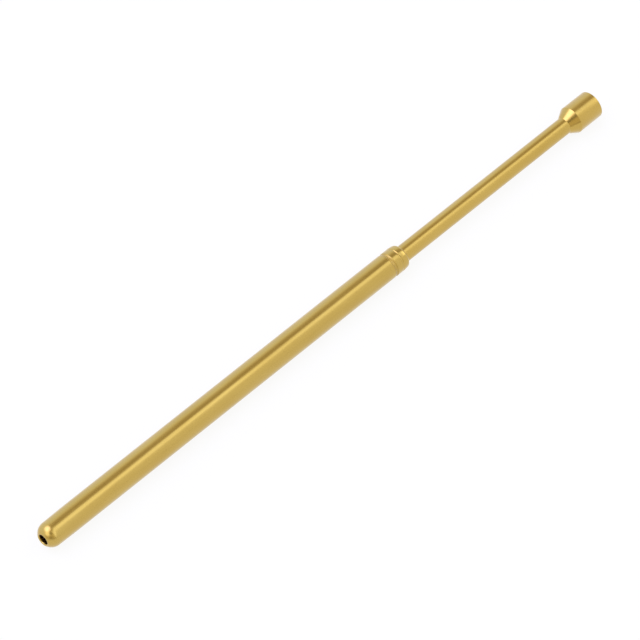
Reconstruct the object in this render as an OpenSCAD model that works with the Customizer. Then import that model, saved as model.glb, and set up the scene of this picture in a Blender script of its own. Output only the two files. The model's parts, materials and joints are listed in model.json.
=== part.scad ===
// Pogo pin: a spring-loaded contact probe with a long stroke.
// A drawn tube closed to a round nose holds a coil spring and the tail of a turned plunger,
// and a groove rolled into the tube near its mouth keeps the plunger in.
// The axis lies along +X with the plunger's head at the +X end. The origin is on the axis,
// where the straight barrel ends at the rolled groove. Millimetres.

/* [Barrel] */
// Outside diameter of the tube
barrel_d = 1.36; // [1.34:0.01:1.50]
// Length of the tube from its closed nose to its lip
barrel_l = 24.86; // [23:0.02:27]
// Wall thickness of the tube
barrel_wall = 0.15; // [0.12:0.01:0.16]

/* [Nose] */
// Radius of the arc that the tube is spun into at its closed end
nose_r = 0.62; // [0.56:0.01:0.66]
// Diameter of the plating vent in the middle of the nose
vent_d = 0.56; // [0.40:0.01:0.60]
// Radius of the vent's rounded edge
vent_edge = 0.06; // [0.03:0.01:0.06]
// Length over which the tube draws in a little before the nose
draft_l = 1.25; // [0.6:0.05:2.5]
// How much the radius draws in over that length
draft_drop = 0.015; // [0.005:0.005:0.020]

/* [Mouth] */
// Distance from the rolled groove's near edge to the lip
mouth_l = 1.08; // [0.98:0.02:1.40]
// Width of the rolled groove at the surface
groove_w = 0.22; // [0.16:0.01:0.26]
// Depth of the rolled groove
groove_depth = 0.04; // [0.020:0.005:0.045]
// Distance from the rolled groove's near edge to the middle of the fine ring left by the closing roll
ring_at = 0.60; // [0.50:0.01:0.66]
// Width of that fine ring
ring_w = 0.11; // [0.08:0.01:0.14]
// Depth of that fine ring
ring_depth = 0.020; // [0.010:0.005:0.030]
// How much the tube draws in between the ring and the lip
mouth_drop = 0.018; // [0.010:0.002:0.026]
// Radius of the rounded lip
lip_round = 0.175; // [0.130:0.005:0.180]

/* [Plunger] */
// Diameter of the plunger's shaft
shaft_d = 0.92; // [0.80:0.01:0.92]
// Length of shaft that shows between the lip and the head's cone
shaft_l = 12.20; // [11.5:0.02:14]
// Length of the cone behind the head
cone_l = 0.55; // [0.40:0.01:0.80]
// Diameter of the head
head_d = 1.52; // [1.40:0.01:1.80]
// Length of the head's cylinder
head_l = 1.54; // [1.00:0.02:2.00]
// Radius of the rounded edge of the contact face
head_edge = 0.04; // [0.02:0.01:0.10]
// Length of the bearing that slides in the bore
bearing_l = 3.0; // [2.4:0.1:4.0]
// Slant of the bearing's end, which makes the spring press the plunger to one side
bias_angle = 14; // [4:1:20]

/* [Spring] */
// Wire diameter
wire_d = 0.16; // [0.13:0.01:0.16]
// Number of turns, with the closed ones at both ends
turns = 57; // [46:1:57]
// Closed turns at each end
closed_turns = 1.5; // [1:0.5:3]

/* [Fits] */
// Radial clearance of the bearing in the bore, and of the shaft in the mouth
run_gap = 0.02; // [0.010:0.005:0.025]
// Radial clearance of the spring in the bore
spring_gap = 0.03; // [0.02:0.01:0.05]
// End clearance at the plunger's stop and at both ends of the spring
end_gap = 0.01; // [0.005:0.005:0.020]
// How far the plunger is pushed in
pressed = 0; // [0:0.02:10.16]

/* [Hidden] */
$fn = 96;

// Overrun that carries a cutting shape past the face that it cuts
over = 0.05;

// Radii of the tube
barrel_r = barrel_d / 2;
bore_r = barrel_r - barrel_wall;
nose_start_r = barrel_r - draft_drop;
vent_r = vent_d / 2;

// Radii of the plunger, and of the bead and lip that it passes through
shaft_r = shaft_d / 2;
head_r = head_d / 2;
bearing_r = bore_r - run_gap;
mouth_r = shaft_r + run_gap;

// Stations along the axis
nose_arc_r = nose_start_r - nose_r;
lip_x = mouth_l;
closed_x = lip_x - barrel_l;
vent_edge_r = vent_r + vent_edge;
vent_edge_x = closed_x + vent_edge;
nose_x = vent_edge_x + sqrt((nose_r - vent_edge) ^ 2 - (vent_edge_r - nose_arc_r) ^ 2);
uncut_x = nose_x - nose_r - over;
seat_x = nose_x + draft_l;
cone_x = lip_x + shaft_l;
head_x = cone_x + cone_l;
face_x = head_x + head_l;

// Mouth: a long arc draws the tube in from the ring, and runs on into the lip's own arc
crown_x = ring_at + ring_w / 2;
lip_centre_x = lip_x - lip_round;
lip_centre_r = barrel_r - mouth_drop - lip_round;
crown_l = lip_centre_x - crown_x;
crown_r = lip_round + (crown_l ^ 2 + mouth_drop ^ 2) / (2 * mouth_drop);

// Rolled groove: the bead under it stands in the bore
bead_h = bore_r - mouth_r;
shoulder_x = -bead_h - end_gap;
tail_x = shoulder_x - bearing_l;

// Spring: its first turn sits in the curve of the nose, its last against the bearing's end
coil_r = bore_r - spring_gap - wire_d / 2;
inner_nose_r = bore_r - nose_arc_r;
spring_seat = sqrt((inner_nose_r - wire_d / 2) ^ 2 - (coil_r - nose_arc_r) ^ 2);
spring_x0 = nose_x - spring_seat + end_gap;
spring_x1 = tail_x - pressed - wire_d / 2 - end_gap;

// Facets of the spring: steps in a turn, and sides of the wire
turn_steps = 10;
wire_sides = 6;

// Turns a profile drawn as [radius, station] about the X axis
module lathe() {
    rotate([0, 90, 0])
        rotate_extrude()
            children();
}

// A rectangle of the profile, from station x0 to x1 and from radius r0 to r1
module band(x0, x1, r0, r1) {
    translate([r0, x0])
        square([r1 - r0, x1 - x0]);
}

// The quarter of a disc that closes a profile towards -X: radius r, centred at [centre_r, x]
module nose_quarter(centre_r, x, r) {
    intersection() {
        translate([centre_r, x])
            circle(r);
        band(x - r, x, 0, centre_r + r);
    }
}

// The quarter of a disc that rounds a profile's outer corner towards +X, ending at radius r1, station x1
module corner_quarter(r1, x1, r) {
    intersection() {
        translate([r1 - r, x1 - r])
            circle(r);
        band(x1 - r, x1, r1 - r, r1);
    }
}

// Outside of the tube as a filled profile
module barrel_outside() {
    nose_quarter(nose_arc_r, nose_x, nose_r);
    polygon([[0, nose_x], [nose_start_r, nose_x], [barrel_r, seat_x], [0, seat_x]]);
    band(seat_x, crown_x, 0, barrel_r);
    mouth_crown();
    translate([lip_centre_r, lip_centre_x])
        circle(lip_round);
    band(lip_centre_x, lip_x, 0, lip_centre_r);
}

// The drawn-in end of the tube, as far as the line on which the long arc meets the lip's arc
module mouth_crown() {
    reach = (crown_r + over) / (crown_r - lip_round);
    meet_r = barrel_r - crown_r + (lip_centre_r - barrel_r + crown_r) * reach;
    intersection() {
        translate([barrel_r - crown_r, crown_x])
            circle(crown_r);
        polygon([
            [0, crown_x],
            [barrel_r + over, crown_x],
            [meet_r, crown_x + crown_l * reach],
            [lip_centre_r, lip_centre_x],
            [0, lip_centre_x]
        ]);
    }
}

// What a roll of round section takes out of the surface: width w and depth d, centred at station x
module rolled_arc(x, w, d) {
    r = (w ^ 2 / 4 + d ^ 2) / (2 * d);
    translate([barrel_r - d + r, x])
        circle(r);
}

// Outer edge of the vent, rounded from the nose's arc into the hole
module vent_rounding() {
    reach = (nose_r + over) / (nose_r - vent_edge);
    meet_r = nose_arc_r + (vent_edge_r - nose_arc_r) * reach;
    difference() {
        polygon([
            [0, vent_edge_x],
            [vent_edge_r, vent_edge_x],
            [meet_r, nose_x - (nose_x - vent_edge_x) * reach],
            [meet_r, uncut_x],
            [0, uncut_x]
        ]);
        translate([vent_edge_r, vent_edge_x])
            circle(vent_edge);
    }
}

// The bore: round at the nose, beaded under the groove, and turned in at the lip
module barrel_inside() {
    nose_quarter(nose_arc_r, nose_x, inner_nose_r);
    band(uncut_x, nose_x, 0, vent_r);
    polygon([
        [0, nose_x],
        [bore_r, nose_x],
        [bore_r, -bead_h],
        [mouth_r, 0],
        [mouth_r, groove_w],
        [bore_r, groove_w + bead_h],
        [bore_r, lip_x - barrel_wall - bead_h],
        [mouth_r, lip_x - barrel_wall],
        [mouth_r, lip_x + over],
        [0, lip_x + over]
    ]);
}

// Drawn tube, spun closed at the nose and rolled in at the mouth
module barrel() {
    color("goldenrod")
        lathe()
            difference() {
                barrel_outside();
                barrel_inside();
                vent_rounding();
                rolled_arc(groove_w / 2, groove_w, groove_depth);
                rolled_arc(ring_at, ring_w, ring_depth);
            }
}

// Plunger as a filled profile, from the end of its bearing to the contact face
module plunger_profile() {
    band(tail_x, shoulder_x - run_gap, 0, bearing_r);
    polygon([
        [0, shoulder_x - run_gap],
        [bearing_r, shoulder_x - run_gap],
        [bearing_r - run_gap, shoulder_x],
        [0, shoulder_x]
    ]);
    band(shoulder_x, cone_x, 0, shaft_r);
    polygon([[0, cone_x], [shaft_r, cone_x], [head_r, head_x], [0, head_x]]);
    band(head_x, face_x - head_edge, 0, head_r);
    band(face_x - head_edge, face_x, 0, head_r - head_edge);
    corner_quarter(head_r, face_x, head_edge);
}

// Block that slants the bearing's end and leaves its lower side the longer
module bias_cut() {
    cut = 4 * bearing_r;
    translate([tail_x, 0, -bearing_r])
        rotate([0, bias_angle, 0])
            translate([-cut, -cut / 2, 0])
                cube([cut, cut, cut]);
}

// Turned plunger: head, cone, shaft and the bearing that the bead keeps in
module plunger() {
    color("gold")
        translate([-pressed, 0, 0])
            difference() {
                lathe()
                    plunger_profile();
                bias_cut();
            }
}

// Station of the wire's centre after t turns: closed at both ends and open between
function spring_station(t) =
    let (
        closed_pitch = wire_d * 1.04,
        closed_l = closed_turns * closed_pitch,
        open_turns = turns - 2 * closed_turns,
        open_l = spring_x1 - spring_x0 - 2 * closed_l,
        opened = min(max(t - closed_turns, 0), open_turns),
        closed = min(t, closed_turns) + max(t - turns + closed_turns, 0)
    )
    spring_x0 + closed * closed_pitch + opened / open_turns * open_l;

// Point on the wire's surface after t turns, at angle a round the wire
function wire_point(t, a) =
    let (r = coil_r + wire_d / 2 * cos(a))
    [spring_station(t) + wire_d / 2 * sin(a), r * sin(360 * t), -r * cos(360 * t)];

// Coil spring, swept ring by ring along its helix and capped at both ends
module spring() {
    rings = turns * turn_steps;
    points = [
        for (i = [0:rings], j = [0:wire_sides - 1])
            wire_point(i / turn_steps, 360 * j / wire_sides)
    ];
    skin = [
        for (i = [0:rings - 1], j = [0:wire_sides - 1])
            let (k = (j + 1) % wire_sides, a = i * wire_sides, b = a + wire_sides)
            each [[a + j, b + j, b + k], [a + j, b + k, a + k]]
    ];
    start_cap = [for (j = [0:wire_sides - 1]) j];
    end_cap = [for (j = [wire_sides - 1:-1:0]) rings * wire_sides + j];
    color("lightgray")
        polyhedron(points, concat(skin, [start_cap, end_cap]), convexity = 10);
}

barrel();
plunger();
spring();
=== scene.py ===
"""Looks of the pogo pin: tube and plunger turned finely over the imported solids, wound spring, studio."""

import json
import math

import bmesh
import bpy
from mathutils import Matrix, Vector


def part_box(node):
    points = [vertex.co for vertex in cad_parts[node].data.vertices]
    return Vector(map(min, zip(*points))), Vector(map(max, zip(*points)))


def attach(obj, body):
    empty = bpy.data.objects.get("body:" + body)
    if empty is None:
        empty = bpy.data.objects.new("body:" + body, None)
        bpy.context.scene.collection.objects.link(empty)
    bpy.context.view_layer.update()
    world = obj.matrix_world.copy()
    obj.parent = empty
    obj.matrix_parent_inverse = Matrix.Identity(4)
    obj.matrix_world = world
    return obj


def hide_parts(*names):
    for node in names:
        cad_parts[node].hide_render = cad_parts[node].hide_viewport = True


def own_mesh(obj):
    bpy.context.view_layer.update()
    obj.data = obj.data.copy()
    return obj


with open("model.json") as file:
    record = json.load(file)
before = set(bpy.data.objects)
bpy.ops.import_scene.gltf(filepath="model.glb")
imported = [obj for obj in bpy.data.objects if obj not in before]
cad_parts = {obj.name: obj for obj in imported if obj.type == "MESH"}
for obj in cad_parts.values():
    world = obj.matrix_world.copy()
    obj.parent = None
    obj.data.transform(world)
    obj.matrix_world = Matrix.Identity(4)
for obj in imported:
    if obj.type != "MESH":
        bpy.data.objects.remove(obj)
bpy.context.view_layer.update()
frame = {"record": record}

MM = 0.001

# ---------------------------------------------------------------- sizes, in metres
seat = next(m for m in frame["record"]["mounts"] if m["name"] == "barrel_seat")
barrel_low, barrel_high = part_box("barrel")
plunger_low, plunger_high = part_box("plunger")
spring_low, spring_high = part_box("spring")

BARREL_R = seat["dims"]["r_mm"] * MM
SEAT_END = -seat["dims"]["length_mm"] * MM
WALL = 0.15 * MM
BORE_R = BARREL_R - WALL
CLOSED_X = barrel_low.x
LIP_X = barrel_high.x

NOSE_R = 0.62 * MM
NOSE_TAPER = 0.015 * MM
NOSE_START_R = BARREL_R - NOSE_TAPER
NOSE_ARC_R = NOSE_START_R - NOSE_R
VENT_R = 0.28 * MM
VENT_EDGE = 0.06 * MM

GROOVE_W = 0.22 * MM
GROOVE_DEPTH = 0.04 * MM
RING_X = 0.60 * MM
RING_W = 0.11 * MM
RING_DEPTH = 0.02 * MM
MOUTH_DROP = 0.018 * MM
LIP_ROUND = 0.175 * MM

SHAFT_R = 0.46 * MM
MOUTH_R = 0.48 * MM
BEARING_R = 0.51 * MM
BEARING_L = 3.0 * MM
BEARING_EDGE = 0.02 * MM
BIAS_ANGLE = math.radians(14)
FACE_X = plunger_high.x
HEAD_R = (plunger_high.z - plunger_low.z) / 2
HEAD_L = 1.54 * MM
CONE_L = 0.55 * MM
HEAD_X = FACE_X - HEAD_L
CONE_X = HEAD_X - CONE_L
HEAD_EDGE = 0.04 * MM
CORNER = 0.02 * MM

WIRE_R = 0.08 * MM
COIL_GAP = 0.03 * MM
COIL_R = BORE_R - COIL_GAP - WIRE_R
TURNS = 57
CLOSED_TURNS = 1.5
CLOSED_SPACING = 1.04

SAME_POINT = 1e-9
SAME_PLANE = 1e-7


# ---------------------------------------------------------------- mesh helpers
def arc(centre_x, centre_r, radius, start, end, steps):
    """Points [x, r] on an arc. Angles are in degrees, from +X towards +R."""
    angles = [math.radians(start + (end - start) * i / steps) for i in range(steps + 1)]
    return [(centre_x + radius * math.cos(a), centre_r + radius * math.sin(a)) for a in angles]


def roll(x, width, depth, steps=12):
    """The hollow that a roll of round section leaves in the tube's surface."""
    radius = (width ** 2 / 4 + depth ** 2) / (2 * depth)
    half = math.degrees(math.asin(width / 2 / radius))
    return arc(x, BARREL_R - depth + radius, radius, 270 - half, 270 + half, steps)


def lathe(name, runs, lined=(), sides=160):
    """Turns runs of [x, r] points about the X axis.

    A run is smooth, and the corner where two runs meet is sharp.
    The runs whose numbers are in lined take the piece's second material.
    """
    bm = bmesh.new()

    def ring(x, r):
        turn = [2 * math.pi * i / sides for i in range(sides)]
        return [bm.verts.new((x, r * math.cos(a), r * math.sin(a))) for a in turn]

    def skin(one, two, material):
        for i in range(sides):
            j = (i + 1) % sides
            face = bm.faces.new((one[i], two[i], two[j], one[j]))
            face.material_index = material

    first = last = ring(*runs[0][0])
    for number, run in enumerate(runs):
        corner = last
        for point in run[1:]:
            following = ring(*point)
            skin(last, following, int(number in lined))
            last = following
        mark_sharp(bm, corner)
    return finish_mesh(name, bm, first, last)


def mark_sharp(bm, ring):
    """Makes the edges along a ring of vertices sharp."""
    for i, vertex in enumerate(ring):
        edge = bm.edges.get((vertex, ring[(i + 1) % len(ring)]))
        if edge:
            edge.smooth = False


def finish_mesh(name, bm, first, last):
    """Joins the first and last rings where they meet, or caps them, and makes the object."""
    joined = (first[0].co - last[0].co).length < SAME_POINT
    if joined:
        bmesh.ops.remove_doubles(bm, verts=first + last, dist=SAME_POINT)
        mark_sharp(bm, [v for v in first if v.is_valid])
    else:
        mark_sharp(bm, first)
        mark_sharp(bm, last)
        bm.faces.new(first)
        bm.faces.new(list(reversed(last)))
    bmesh.ops.recalc_face_normals(bm, faces=bm.faces)
    for face in bm.faces:
        face.smooth = True
    mesh = bpy.data.meshes.new(name)
    bm.to_mesh(mesh)
    bm.free()
    piece = bpy.data.objects.new(name, mesh)
    bpy.context.scene.collection.objects.link(piece)
    return piece


# ---------------------------------------------------------------- pieces
def make_barrel():
    """The drawn tube as one closed profile: outside from vent to mouth, then inside back to the vent."""
    edge_x = CLOSED_X + VENT_EDGE
    edge_r = VENT_R + VENT_EDGE
    nose_x = edge_x + math.sqrt((NOSE_R - VENT_EDGE) ** 2 - (edge_r - NOSE_ARC_R) ** 2)
    meet = math.degrees(math.atan2(edge_r - NOSE_ARC_R, edge_x - nose_x))
    rim = arc(edge_x, edge_r, VENT_EDGE, 270, meet, 14)
    nose = rim + arc(nose_x, NOSE_ARC_R, NOSE_R, meet, 90, 26)[1:]

    inner_r = BORE_R - NOSE_ARC_R
    inner_end = 180 - math.degrees(math.asin((VENT_R - NOSE_ARC_R) / inner_r))
    inner_nose = arc(nose_x, NOSE_ARC_R, inner_r, 90, inner_end, 20)

    crown_x = RING_X + RING_W / 2
    centre_x = LIP_X - LIP_ROUND
    crown_l = centre_x - crown_x
    reach = (crown_l ** 2 + MOUTH_DROP ** 2) / (2 * MOUTH_DROP)
    turn = 90 - math.degrees(math.asin(crown_l / reach))
    crown = arc(crown_x, BARREL_R - LIP_ROUND - reach, LIP_ROUND + reach, 90, turn, 6)
    lip = arc(centre_x, BARREL_R - MOUTH_DROP - LIP_ROUND, LIP_ROUND, turn, 0, 16)

    groove = roll(GROOVE_W / 2, GROOVE_W, GROOVE_DEPTH)
    ring = roll(RING_X, RING_W, RING_DEPTH, 8)
    bead = BORE_R - MOUTH_R
    outside = [
        nose + [(SEAT_END, BARREL_R), (SEAT_END / 2, BARREL_R), (0, BARREL_R)],
        groove,
        [groove[-1], ring[0]],
        ring,
        crown + lip[1:],
        [lip[-1], (LIP_X, MOUTH_R)],
        [(LIP_X, MOUTH_R), (LIP_X - WALL, MOUTH_R)],
    ]
    inside = [
        [(LIP_X - WALL, MOUTH_R), (LIP_X - WALL - bead, BORE_R)],
        [(LIP_X - WALL - bead, BORE_R), (GROOVE_W + bead, BORE_R)],
        [(GROOVE_W + bead, BORE_R), (GROOVE_W, MOUTH_R)],
        [(GROOVE_W, MOUTH_R), (0, MOUTH_R)],
        [(0, MOUTH_R), (-bead, BORE_R)],
        [(-bead, BORE_R), inner_nose[0]],
        inner_nose,
        [inner_nose[-1], nose[0]],
    ]
    runs = outside + inside
    piece = lathe("barrel_tube", runs, lined=range(len(outside), len(runs)))
    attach(piece, "barrel")
    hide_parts("barrel")
    return piece


def make_plunger():
    """The turned plunger: bearing with its slanted end, shaft, cone and head."""
    shoulder_x = plunger_low.x + BEARING_L
    slope = math.degrees(math.atan2(HEAD_R - SHAFT_R, HEAD_X - CONE_X))
    reach = CORNER * math.tan(math.radians(slope / 2))
    throat = arc(CONE_X - reach, SHAFT_R + CORNER, CORNER, -90, -90 + slope, 5)
    brow = arc(HEAD_X + reach, HEAD_R - CORNER, CORNER, 90 + slope, 90, 5)
    edge = arc(FACE_X - HEAD_EDGE, HEAD_R - HEAD_EDGE, HEAD_EDGE, 90, 0, 8)
    start = plunger_low.x
    runs = [
        [(start, BEARING_R), (shoulder_x - BEARING_EDGE, BEARING_R)],
        [(shoulder_x - BEARING_EDGE, BEARING_R), (shoulder_x, BEARING_R - BEARING_EDGE)],
        [(shoulder_x, BEARING_R - BEARING_EDGE), (shoulder_x, SHAFT_R)],
        [(shoulder_x, SHAFT_R), (CONE_X / 2, SHAFT_R)] + throat + brow + edge + [(FACE_X, HEAD_R / 2)],
    ]
    piece = lathe("plunger_body", runs)
    slant_end(piece, start)
    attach(piece, "plunger")
    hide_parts("plunger")
    return piece


def slant_end(piece, start):
    """Slants the bearing's end face, so that its lower side stays the longer."""
    for vertex in piece.data.vertices:
        if abs(vertex.co.x - start) < SAME_PLANE:
            vertex.co.x += (vertex.co.z + BEARING_R) * math.tan(BIAS_ANGLE)


def spring_station(turn, low, high):
    """Where the wire's centre is after a number of turns: closed at both ends and open between."""
    closed_pitch = 2 * WIRE_R * CLOSED_SPACING
    open_turns = TURNS - 2 * CLOSED_TURNS
    open_length = high - low - 2 * CLOSED_TURNS * closed_pitch
    opened = min(max(turn - CLOSED_TURNS, 0), open_turns)
    closed = min(turn, CLOSED_TURNS) + max(turn - TURNS + CLOSED_TURNS, 0)
    return low + closed * closed_pitch + opened / open_turns * open_length


def make_spring(steps=32, sides=12):
    """The coil spring, swept round its helix."""
    bm = bmesh.new()
    low, high = spring_low.x + WIRE_R, spring_high.x - WIRE_R
    previous = first = None
    for i in range(TURNS * steps + 1):
        turn = 2 * math.pi * i / steps
        x = spring_station(i / steps, low, high)
        ring = []
        for j in range(sides):
            a = 2 * math.pi * j / sides
            r = COIL_R + WIRE_R * math.cos(a)
            ring.append(bm.verts.new((x + WIRE_R * math.sin(a), r * math.sin(turn), -r * math.cos(turn))))
        for j in range(sides if previous else 0):
            k = (j + 1) % sides
            bm.faces.new((previous[j], ring[j], ring[k], previous[k]))
        first = first or ring
        previous = ring
    piece = finish_mesh("coil_spring", bm, first, previous)
    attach(piece, "barrel")
    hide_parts("spring")
    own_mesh(piece)
    return piece


# ---------------------------------------------------------------- materials
# Dark colour laid over a stretch of plating as painted shade
PAINTED_SHADE = (0.25, 0.15, 0.04)
NOISE_LOW, NOISE_HIGH = 0.3, 0.7
DRIFT_ALONG, DRIFT_ACROSS = 2.2 * MM, 0.7 * MM
RELIEF_DEPTH = 0.002 * MM


class Nodes:
    """A short way to build a material's node tree."""

    def __init__(self, tree):
        self.tree = tree
        self.tree.nodes.clear()

    def add(self, kind, **settings):
        node = self.tree.nodes.new(kind)
        for name, value in settings.items():
            setattr(node, name, value)
        return node

    def link(self, start, end):
        self.tree.links.new(start, end)


def stretched_noise(nodes, along, across, detail=3.0):
    """Noise in the part's own coordinates, with one grain size along the axis and one across it, in metres."""
    place = nodes.add("ShaderNodeTexCoord")
    scale = nodes.add("ShaderNodeMapping")
    scale.inputs["Scale"].default_value = (1 / along, 1 / across, 1 / across)
    noise = nodes.add("ShaderNodeTexNoise")
    noise.inputs["Scale"].default_value = 1.0
    noise.inputs["Detail"].default_value = detail
    nodes.link(place.outputs["Object"], scale.inputs["Vector"])
    nodes.link(scale.outputs["Vector"], noise.inputs["Vector"])
    return noise


def between(nodes, source, low, high):
    """Spreads a noise's middle range to run from low to high."""
    return slide(nodes, source, NOISE_LOW, NOISE_HIGH, low, high)


def slide(nodes, value, start, end, low, high):
    """Runs from low to high as the value runs from start to end."""
    span = nodes.add("ShaderNodeMapRange")
    span.inputs["From Min"].default_value = start
    span.inputs["From Max"].default_value = end
    span.inputs["To Min"].default_value = low
    span.inputs["To Max"].default_value = high
    nodes.link(value, span.inputs["Value"])
    return span.outputs["Result"]


def smooth(nodes, value, low, high):
    """Zero below one level, one above the other, with a soft step between. Low above high turns it round."""
    step = nodes.add("ShaderNodeMapRange", interpolation_type="SMOOTHSTEP")
    step.inputs["From Min"].default_value = min(low, high)
    step.inputs["From Max"].default_value = max(low, high)
    step.inputs["To Min"].default_value = 0 if low < high else 1
    step.inputs["To Max"].default_value = 1 if low < high else 0
    nodes.link(value, step.inputs["Value"])
    return step.outputs["Result"]


def compute(nodes, operation, one, two):
    """A Math node on two inputs, each of them an output or a number."""
    math_node = nodes.add("ShaderNodeMath", operation=operation)
    for socket, value in zip(math_node.inputs, (one, two)):
        if isinstance(value, (int, float)):
            socket.default_value = value
        else:
            nodes.link(value, socket)
    return math_node.outputs["Value"]


def window(nodes, value, *levels):
    """One between the two middle levels, with soft edges out to the outer two."""
    rise = smooth(nodes, value, levels[0], levels[1])
    fall = smooth(nodes, value, levels[3], levels[2])
    return compute(nodes, "MULTIPLY", rise, fall)


def lay_over(nodes, below, mask, colour):
    """Lays a colour over what is below, as far as the mask says."""
    mix = nodes.add("ShaderNodeMix", data_type="RGBA")
    nodes.link(mask, mix.inputs["Factor"])
    nodes.link(below, mix.inputs["A"])
    mix.inputs["B"].default_value = (*colour, 1)
    return mix.outputs["Result"]


def along_axis(nodes):
    """The place along the part's axis, in metres."""
    place = nodes.add("ShaderNodeTexCoord")
    split = nodes.add("ShaderNodeSeparateXYZ")
    nodes.link(place.outputs["Object"], split.inputs["Vector"])
    return split.outputs["X"]


def new_material(name):
    """A material with an empty node tree."""
    material = bpy.data.materials.new(name)
    material.use_nodes = True
    return material, Nodes(material.node_tree)


def tone_between(nodes, share, deep, pale):
    """A colour that goes from deep to pale as the share goes from 0 to 1."""
    tone = nodes.add("ShaderNodeMix", data_type="RGBA")
    tone.inputs["A"].default_value = (*deep, 1)
    tone.inputs["B"].default_value = (*pale, 1)
    nodes.link(share, tone.inputs["Factor"])
    return tone.outputs["Result"]


def plated(name, pale, deep, grain_along, grain_across, rough, bump, dulled_and_shaded=()):
    """Satin plating: two close tones in slow drifts, a grain from how the piece was formed, uneven gloss.

    Each dulled stretch has the four places of its mask along the axis, the roughness that it adds
    and its share of painted shade, a dark colour laid over the base colour.
    """
    material, nodes = new_material(name)
    shader = nodes.add("ShaderNodeBsdfPrincipled")
    shader.inputs["Metallic"].default_value = 1.0
    shader.inputs["Coat Weight"].default_value = 0.8
    shader.inputs["Coat Roughness"].default_value = 0.2
    shader.inputs["Coat IOR"].default_value = 1.42
    output = nodes.add("ShaderNodeOutputMaterial")

    drift = stretched_noise(nodes, DRIFT_ALONG, DRIFT_ACROSS, 2.0)
    grain = stretched_noise(nodes, grain_along, grain_across, 4.0)

    colour = tone_between(nodes, between(nodes, drift.outputs["Fac"], 0, 1), deep, pale)
    gloss = between(nodes, grain.outputs["Fac"], *rough)
    for places, rougher, blend in dulled_and_shaded:
        mask = window(nodes, along_axis(nodes), *places)
        # Painted shade: the stretch's colour is darkened towards the dark colour
        colour = lay_over(nodes, colour, compute(nodes, "MULTIPLY", mask, blend), PAINTED_SHADE)
        gloss = compute(nodes, "ADD", gloss, compute(nodes, "MULTIPLY", mask, rougher))
    nodes.link(colour, shader.inputs["Base Color"])
    nodes.link(gloss, shader.inputs["Roughness"])

    relief = nodes.add("ShaderNodeBump")
    relief.inputs["Strength"].default_value = bump
    relief.inputs["Distance"].default_value = RELIEF_DEPTH
    nodes.link(grain.outputs["Fac"], relief.inputs["Height"])
    nodes.link(relief.outputs["Normal"], shader.inputs["Normal"])
    nodes.link(shader.outputs["BSDF"], output.inputs["Surface"])
    return material


def barrel_gold():
    """Drawn tube: the grain runs along the axis. The spun nose and the rolled groove are duller, the groove
    darkened with painted shade.
    """
    nose = (CLOSED_X - 1.0 * MM, CLOSED_X - 0.5 * MM, SEAT_END - 1.3 * MM, SEAT_END - 1.0 * MM)
    groove = (-0.03 * MM, 0.02 * MM, GROOVE_W - 0.02 * MM, GROOVE_W + 0.03 * MM)
    # The groove's stretch darkens its colour with painted shade; the nose's stretch only adds roughness
    dulled_and_shaded = ((nose, 0.06, 0.0), (groove, 0.30, 0.05))
    pale, deep = (0.56, 0.385, 0.084), (0.53, 0.355, 0.068)
    return plated("barrel_gold", pale, deep, 3 * MM, 0.05 * MM, (0.16, 0.26), 0.4, dulled_and_shaded)


def plunger_gold():
    """Turned piece: the grain runs round the axis."""
    pale, deep = (0.57, 0.385, 0.080), (0.54, 0.355, 0.064)
    return plated("plunger_gold", pale, deep, 0.03 * MM, 2 * MM, (0.18, 0.28), 0.4)


def spring_steel():
    """Drawn spring wire."""
    pale, deep = (0.42, 0.38, 0.32), (0.34, 0.30, 0.25)
    return plated("spring_steel", pale, deep, 0.2 * MM, 0.2 * MM, (0.25, 0.38), 0.3)


def barrel_bore():
    """Inside of the tube: a dull, uneven film over the brass, which scatters what light comes in."""
    material, nodes = new_material("barrel_bore")
    blend = stretched_noise(nodes, 0.4 * MM, 0.1 * MM)
    tone = tone_between(nodes, blend.outputs["Fac"], (0.85, 0.58, 0.22), (0.93, 0.68, 0.32))
    shader = nodes.add("ShaderNodeBsdfPrincipled")
    shader.inputs["Metallic"].default_value = 0.0
    nodes.link(tone, shader.inputs["Base Color"])
    nodes.link(between(nodes, blend.outputs["Fac"], 0.45, 0.6), shader.inputs["Roughness"])
    output = nodes.add("ShaderNodeOutputMaterial")
    nodes.link(shader.outputs["BSDF"], output.inputs["Surface"])
    return material


def paint(piece, *materials):
    """Gives a piece its materials, in the order of its faces' material numbers."""
    piece.data.materials.clear()
    for material in materials:
        piece.data.materials.append(material)


# ---------------------------------------------------------------- studio
FLOOR_SIZE = 6
FLOOR_WHITE = 0.9

CAMERA_AZIMUTH = -46.27
CAMERA_ELEVATION = 49.48
CAMERA_LENS = 264.4
CAMERA_TARGET_X = -6.005
CAMERA_BACK, CAMERA_RIGHT, CAMERA_UP = 231.25, 0.855, 0.672


def seen_directly(nodes):
    """One for rays from the camera or off glossy and clear surfaces, which see the white background."""
    path = nodes.add("ShaderNodeLightPath")
    seen = compute(nodes, "MAXIMUM", path.outputs["Is Camera Ray"], path.outputs["Is Glossy Ray"])
    return compute(nodes, "MAXIMUM", seen, path.outputs["Is Transmission Ray"])


def make_floor(height):
    """A wide pale floor. What sees it directly sees white with the object's soft shadow."""
    bpy.ops.mesh.primitive_plane_add(size=FLOOR_SIZE, location=(0, 0, height))
    floor = bpy.context.object
    floor.name = "floor"
    material, nodes = new_material("floor_white")
    paper = nodes.add("ShaderNodeBsdfDiffuse")
    paper.inputs["Color"].default_value = (0.86, 0.86, 0.86, 1)
    white = nodes.add("ShaderNodeEmission")
    white.inputs["Color"].default_value = (1, 1, 1, 1)
    share = compute(nodes, "MULTIPLY", seen_directly(nodes), FLOOR_WHITE)
    mix = nodes.add("ShaderNodeMixShader")
    output = nodes.add("ShaderNodeOutputMaterial")
    nodes.link(share, mix.inputs["Fac"])
    nodes.link(paper.outputs["BSDF"], mix.inputs[1])
    nodes.link(white.outputs["Emission"], mix.inputs[2])
    nodes.link(mix.outputs["Shader"], output.inputs["Surface"])
    paint(floor, material)


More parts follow.
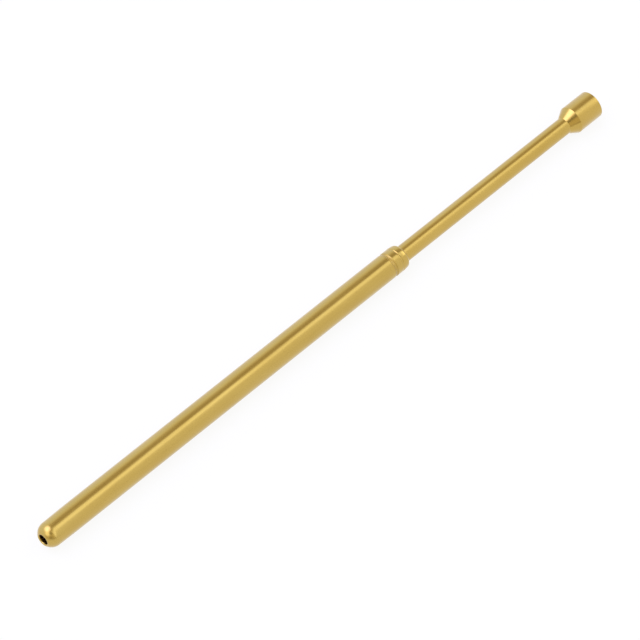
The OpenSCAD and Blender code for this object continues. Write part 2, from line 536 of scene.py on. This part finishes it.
def disc(nodes, direction, centre, edge, core):
    """One inside a round patch of sky, with a soft edge. Its centre is a direction, its sizes are degrees."""
    dot = nodes.add("ShaderNodeVectorMath", operation="DOT_PRODUCT")
    nodes.link(direction, dot.inputs[0])
    dot.inputs[1].default_value = Vector(centre).normalized()
    return smooth(nodes, dot.outputs["Value"], math.cos(math.radians(edge)), math.cos(math.radians(core)))


def make_world():
    """A white room. The camera sees plain white. The metal sees the lamps, the walls and the camera's place.

    A direction is told by its share along the pin and by its angle round the pin, in degrees from the
    front (-Y) up. What is laid later covers what was laid before.
    """
    world = bpy.data.worlds.new("studio")
    bpy.context.scene.world = world
    world.use_nodes = True
    nodes = Nodes(world.node_tree)
    direction = nodes.add("ShaderNodeTexCoord").outputs["Generated"]
    split = nodes.add("ShaderNodeSeparateXYZ")
    nodes.link(direction, split.inputs["Vector"])
    along, side, height = split.outputs
    front = compute(nodes, "MULTIPLY", side, -1.0)
    angle = compute(nodes, "MULTIPLY", compute(nodes, "ARCTAN2", height, front), 180 / math.pi)

    # The strip lamp runs askew to the pin: its two edges, and where a direction lies between them
    low = slide(nodes, along, 0.0, 0.47, 18, 65)
    high = slide(nodes, along, 0.0, 0.47, 66, 89)
    place = compute(nodes, "SUBTRACT", angle, low)
    place = compute(nodes, "DIVIDE", place, compute(nodes, "SUBTRACT", high, low))

    wall = nodes.add("ShaderNodeRGB")
    wall.outputs["Color"].default_value = (1, 1, 1, 1)
    room = wall.outputs["Color"]

    def lay(mask, colour):
        nonlocal room
        room = lay_over(nodes, room, mask, colour)

    def both(one, two):
        return compute(nodes, "MULTIPLY", one, two)

    def patch(centre, edge, core):
        return disc(nodes, direction, centre, edge, core)

    back_wall = window(nodes, angle, 124, 150, 230, 240)
    dark_edge = both(smooth(nodes, place, 0.92, 1.33), smooth(nodes, angle, 142, 108))
    strip = window(nodes, place, -0.17, 0.08, 0.75, 1.08)
    lip_gleam = both(window(nodes, angle, 38, 50, 80, 92), window(nodes, along, 0.60, 0.68, 0.82, 0.92))
    camera_end = smooth(nodes, along, -0.08, -0.22)

    lay(back_wall, (1.00, 1.07, 1.25))
    lay(dark_edge, (0.56, 0.50, 0.40))
    lay(both(strip, smooth(nodes, along, -0.2, -0.08)), (1.6, 1.66, 1.85))
    lay(both(strip, smooth(nodes, along, 0.49, 0.54)), (1.06, 1.10, 1.24))
    lay(lip_gleam, (2.3, 2.35, 2.5))

    # The end where the camera stands: its wall, the table's edge, a side lamp, two shades and the key lamp
    lay(both(window(nodes, angle, 6, 18, 80, 90), camera_end), (0.80, 0.72, 0.55))
    lay(both(window(nodes, angle, -4, 2, 9, 16), camera_end), (0.58, 0.52, 0.40))
    lay(patch((-0.72, -0.02, 0.69), 30, 12), (1.85, 1.88, 2.05))
    lay(patch((-0.68, -0.68, 0.26), 20, 6), (0.46, 0.41, 0.31))
    lay(patch((-0.46, -0.38, 0.80), 16, 8), (0.28, 0.25, 0.22))
    lay(patch((-0.28, 0.38, 0.88), 30, 12), (2.7, 2.65, 4.0))

    path = nodes.add("ShaderNodeLightPath")
    lay(path.outputs["Is Camera Ray"], (1, 1, 1))
    sky = nodes.add("ShaderNodeBackground")
    nodes.link(room, sky.inputs["Color"])
    output = nodes.add("ShaderNodeOutputWorld")
    nodes.link(sky.outputs["Background"], output.inputs["Surface"])


def make_camera():
    """A long lens from the photograph's side: the pin recedes to the upper right."""
    azimuth, elevation = math.radians(CAMERA_AZIMUTH), math.radians(CAMERA_ELEVATION)
    flat = math.cos(elevation)
    back = Vector((math.sin(azimuth) * flat, -math.cos(azimuth) * flat, math.sin(elevation)))
    right = Vector((math.cos(azimuth), math.sin(azimuth), 0))
    up = back.cross(right)
    target = Vector((CAMERA_TARGET_X * MM, 0, 0))
    camera = bpy.data.objects.new("camera", bpy.data.cameras.new("camera"))
    bpy.context.scene.collection.objects.link(camera)
    camera.data.lens = CAMERA_LENS
    camera.data.sensor_width = 36
    camera.data.clip_start = 0.01
    aside = right * CAMERA_RIGHT * MM + up * CAMERA_UP * MM
    camera.location = target + back * CAMERA_BACK * MM + aside
    camera.rotation_mode = "QUATERNION"
    camera.rotation_quaternion = (-back).to_track_quat("-Z", "Y")
    bpy.context.scene.camera = camera


def make_studio():
    scene = bpy.context.scene
    scene.view_settings.view_transform = "Standard"
    make_floor(plunger_low.z)
    make_world()
    make_camera()


paint(make_barrel(), barrel_gold(), barrel_bore())
paint(make_plunger(), plunger_gold())
paint(make_spring(), spring_steel())
make_studio()
